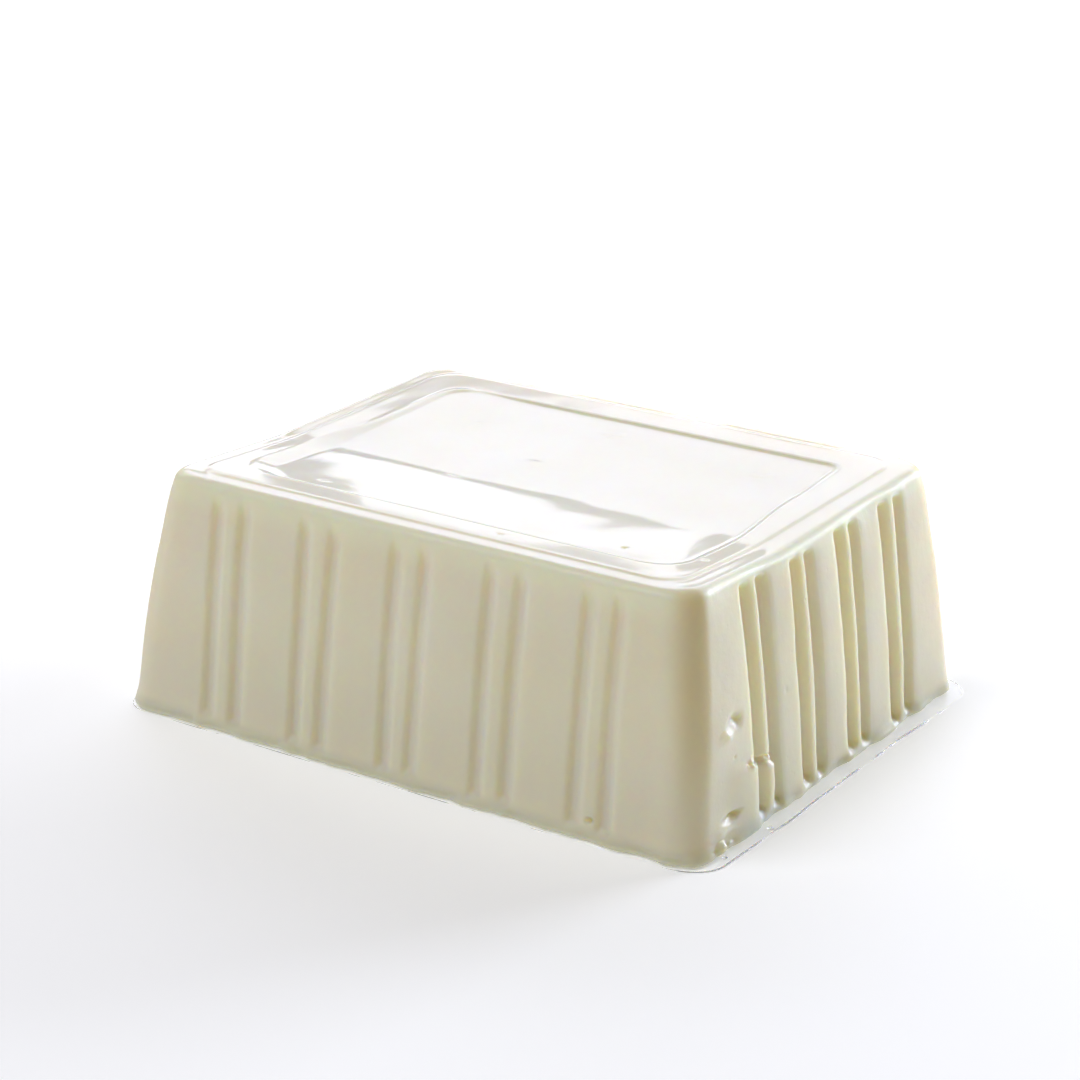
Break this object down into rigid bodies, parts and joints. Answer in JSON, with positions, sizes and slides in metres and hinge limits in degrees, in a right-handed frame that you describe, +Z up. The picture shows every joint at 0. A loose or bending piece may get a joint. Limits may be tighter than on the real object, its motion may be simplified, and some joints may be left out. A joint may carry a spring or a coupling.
{
  "type": "tofu block",
  "caption": "Whole block of silken tofu turned out of its ribbed tray, with paired upright grooves in its walls and a raised rim round a sunken top.",
  "frame": {"origin": "middle of the block's flat underside, on the surface it stands on", "axes": "+X along the long side, +Y along the short side, +Z up; the side shown first faces -Y and the other side shown faces +X"},
  "size_m": [0.11, 0.089, 0.0404],
  "materials": {
    "curd": "moist, smooth and faintly translucent cream white",
    "whey": "clear thin liquid"
  },
  "bodies": {
    "root": {"tofu_block": "curd"}
  },
  "joints": []
}
